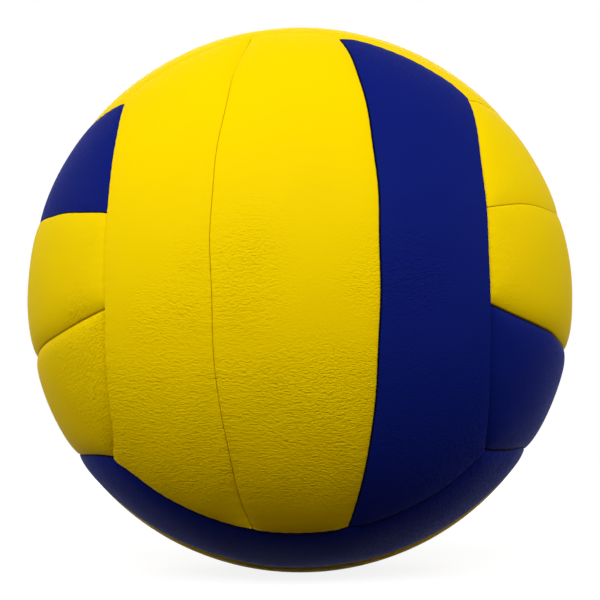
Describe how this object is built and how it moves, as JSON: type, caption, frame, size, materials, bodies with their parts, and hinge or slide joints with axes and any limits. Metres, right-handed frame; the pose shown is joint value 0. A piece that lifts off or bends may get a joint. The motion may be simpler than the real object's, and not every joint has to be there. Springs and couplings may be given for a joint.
{
  "type": "volleyball",
  "caption": "Inflated indoor volleyball covered with rectangular strips of padded synthetic leather in groups of three, with a needle valve and a removable valve core.",
  "frame": {"origin": "centre of the ball", "axes": "+Z out through the valve in the middle of the top group; the front group faces -Y with its strips along Z; +X to the right of the front group"},
  "size_m": [0.21, 0.21, 0.2099],
  "materials": {
    "yellow_leather": "soft satin, fine leather grain",
    "blue_leather": "soft satin, fine leather grain",
    "foam": "matt closed-cell foam",
    "lining": "plain woven",
    "thread": "twisted polyester",
    "bladder_rubber": "matt butyl rubber",
    "valve_rubber": "matt moulded rubber",
    "core_rubber": "satin moulded rubber"
  },
  "bodies": {
    "ball": {"front_left_panel": "yellow_leather", "front_middle_panel": "yellow_leather", "front_right_panel": "blue_leather", "back_left_panel": "blue_leather", "back_middle_panel": "yellow_leather", "back_right_panel": "yellow_leather", "left_upper_panel": "blue_leather", "left_middle_panel": "yellow_leather", "left_lower_panel": "yellow_leather", "right_upper_panel": "yellow_leather", "right_middle_panel": "yellow_leather", "right_lower_panel": "blue_leather", "top_front_panel": "yellow_leather", "top_middle_panel": "yellow_leather", "top_back_panel": "blue_leather", "bottom_front_panel": "blue_leather", "bottom_middle_panel": "yellow_leather", "bottom_back_panel": "yellow_leather", "front_left_foam": "foam", "front_middle_foam": "foam", "front_right_foam": "foam", "back_left_foam": "foam", "back_middle_foam": "foam", "back_right_foam": "foam", "left_upper_foam": "foam", "left_middle_foam": "foam", "left_lower_foam": "foam", "right_upper_foam": "foam", "right_middle_foam": "foam", "right_lower_foam": "foam", "top_front_foam": "foam", "top_middle_foam": "foam", "top_back_foam": "foam", "bottom_front_foam": "foam", "bottom_middle_foam": "foam", "bottom_back_foam": "foam", "front_lining": "lining", "back_lining": "lining", "left_lining": "lining", "right_lining": "lining", "top_lining": "lining", "bottom_lining": "lining", "front_seam_thread": "thread", "back_seam_thread": "thread", "left_seam_thread": "thread", "right_seam_thread": "thread", "top_seam_thread": "thread", "bottom_seam_thread": "thread", "bladder": "bladder_rubber", "valve_housing": "valve_rubber"},
    "valve_core": {"valve_core": "core_rubber"}
  },
  "joints": [
    {"name": "valve_core_pull", "type": "slide", "parent": "ball", "child": "valve_core", "axis": [0, 0, 1], "range_m": [0, 0.022]}
  ]
}
